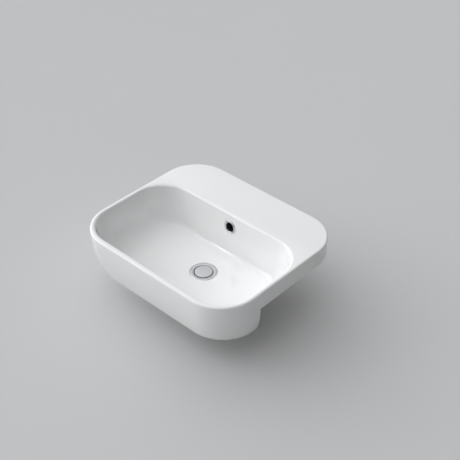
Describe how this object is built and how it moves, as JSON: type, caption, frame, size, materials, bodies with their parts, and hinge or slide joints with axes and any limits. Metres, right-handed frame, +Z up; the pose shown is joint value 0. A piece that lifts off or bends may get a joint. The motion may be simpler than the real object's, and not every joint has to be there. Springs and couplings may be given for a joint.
{
  "type": "semi recessed basin",
  "caption": "Semi-recessed rectangular wash basin with rounded corners, rear shelf, overflow and a push-latch waste, set into a bench with its apron in front.",
  "frame": {"origin": "on the centre line, in the middle of the rear foot, at the level of the bench top", "axes": "+Z up, -Y towards the user (front), +X to the right seen from the front"},
  "size_m": [0.5, 0.425, 0.2015],
  "materials": {
    "glazed_china": "glossy white glaze",
    "chrome": "polished chrome plate",
    "brass": "machined",
    "black_rubber": "moulded",
    "white_nylon": "moulded",
    "spring_steel": "drawn wire"
  },
  "bodies": {
    "root": {"basin": "glazed_china", "overflow_ring": "chrome", "overflow_o_ring": "black_rubber", "waste_body": "chrome", "flange_seal": "black_rubber", "lower_seal": "black_rubber", "slip_washer": "white_nylon", "back_nut": "brass", "latch_barrel": "brass", "stem_o_ring": "black_rubber", "ring_circlip": "spring_steel", "latch_spring": "spring_steel", "barrel_plug": "brass"},
    "plug": {"plug_cap": "chrome", "plug_seal": "black_rubber", "plug_stem": "brass", "stem_locknut": "brass"},
    "latch_ring": {"latch_ring": "brass"}
  },
  "joints": [
    {"name": "plug_travel", "type": "slide", "parent": "root", "child": "plug", "axis": [0, 0, 1], "range_m": [0, 0.009], "deforming": ["latch_spring"]},
    {"name": "latch_turn", "type": "hinge", "parent": "root", "child": "latch_ring", "pos_m": [0, -0.2245, -0.1205], "axis": [0, 0, 1], "range_deg": [0, 45]}
  ],
  "couplings": [
    {"joint": "latch_turn", "follows": "plug_travel", "rad_per_m": 87.266}
  ]
}
